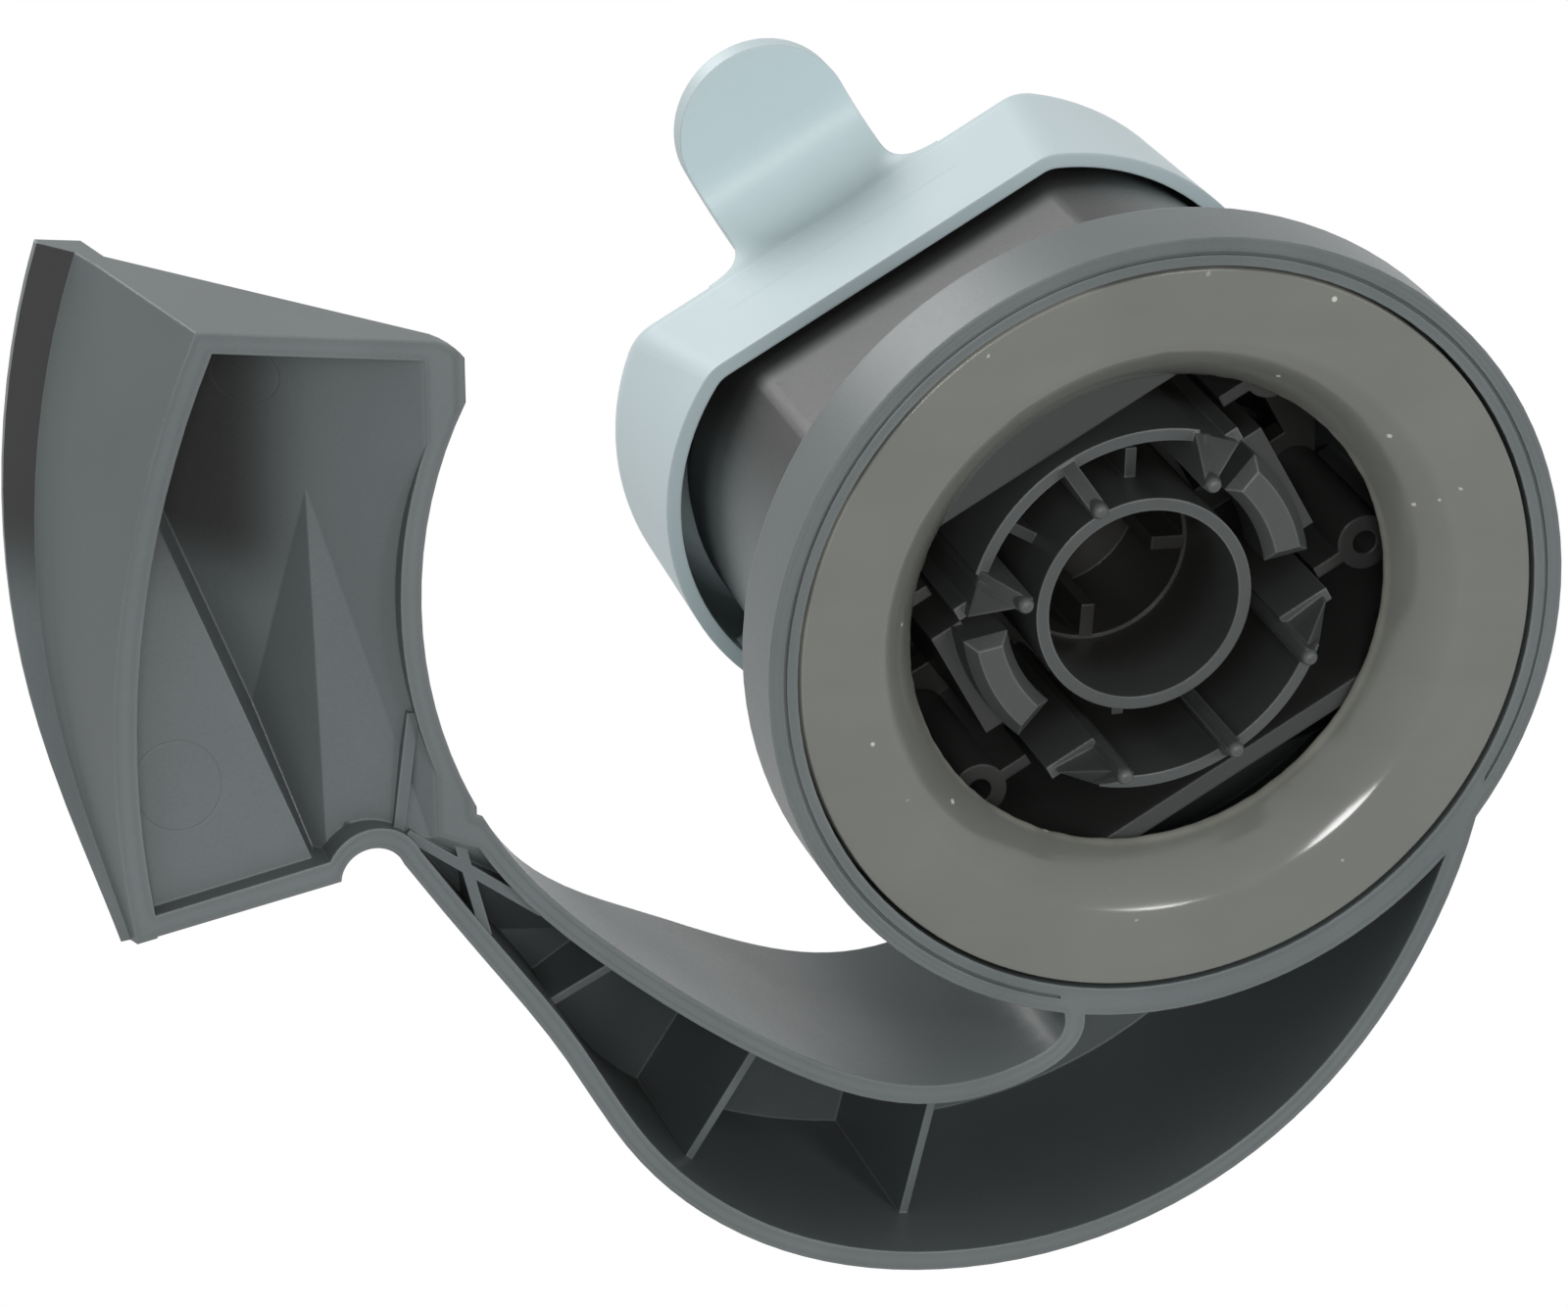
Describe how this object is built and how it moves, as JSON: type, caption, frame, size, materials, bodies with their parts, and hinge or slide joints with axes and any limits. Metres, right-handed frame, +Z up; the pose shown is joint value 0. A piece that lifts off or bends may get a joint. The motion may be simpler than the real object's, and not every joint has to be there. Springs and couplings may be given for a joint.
{
  "type": "air fryer stirring paddle",
  "caption": "Stirring paddle for a round cooking pan: hollow plough blade on a curved arm, drive tower with sealing ring, and a lift-up release lever that opens two latch jaws",
  "frame": {"origin": "centre of the drive bore's mouth, on the bore's axis", "axes": "+Z up in use along the drive axis, towards the release lever; the blade lies at -X; the arm bulges to +Y"},
  "size_m": [0.1604, 0.1142, 0.091],
  "materials": {
    "dark_plastic": "matt glass-filled nylon, grey-black",
    "seal_rubber": "semi-gloss moulded seal, olive grey",
    "pale_plastic": "satin moulded plastic, pale blue-grey",
    "pin_steel": "plain turned stainless steel",
    "spring_steel": "drawn stainless spring wire"
  },
  "bodies": {
    "base": {"paddle_body": "dark_plastic", "seal_ring": "seal_rubber", "drive_hub": "dark_plastic", "tower_lid": "dark_plastic", "hinge_pin_left": "pin_steel", "hinge_pin_right": "pin_steel", "jaw_pin_left": "pin_steel", "jaw_pin_right": "pin_steel", "hub_screw_1": "pin_steel", "hub_screw_2": "pin_steel", "hub_screw_3": "pin_steel", "hub_screw_4": "pin_steel", "lid_screw_1": "pin_steel", "lid_screw_2": "pin_steel", "lid_screw_3": "pin_steel", "lid_screw_4": "pin_steel", "yoke_spring": "spring_steel", "jaw_spring": "spring_steel"},
    "lever": {"release_lever": "pale_plastic", "yoke_pin": "pin_steel"},
    "yoke": {"latch_yoke": "dark_plastic"},
    "jaw_left": {"latch_jaw_left": "dark_plastic"},
    "jaw_right": {"latch_jaw_right": "dark_plastic"}
  },
  "joints": [
    {"name": "lever_hinge", "type": "hinge", "parent": "base", "child": "lever", "pos_m": [0.0053, 0.00848, 0.0525], "axis": [-0.848, 0.5299, 0], "range_deg": [0, 22], "stiffness_Nm_per_rad": 0.3, "springref_deg": -8.59},
    {"name": "yoke_slide", "type": "slide", "parent": "base", "child": "yoke", "axis": [0, 0, 1], "range_m": [0, 0.00553], "deforming": ["yoke_spring"]},
    {"name": "jaw_left_pivot", "type": "hinge", "parent": "base", "child": "jaw_left", "pos_m": [-0.01569, 0.0098, 0.032], "axis": [0.5299, 0.848, 0], "range_deg": [0, 7.1], "deforming": ["jaw_spring"]},
    {"name": "jaw_right_pivot", "type": "hinge", "parent": "base", "child": "jaw_right", "pos_m": [0.01569, -0.0098, 0.032], "axis": [-0.5299, -0.848, 0], "range_deg": [0, 7.1]}
  ],
  "couplings": [
    {"joint": "lever_hinge", "follows": "yoke_slide", "rad_per_m": 69.425},
    {"joint": "jaw_left_pivot", "follows": "yoke_slide", "rad_per_m": 22.09},
    {"joint": "jaw_right_pivot", "follows": "yoke_slide", "rad_per_m": 22.09}
  ]
}
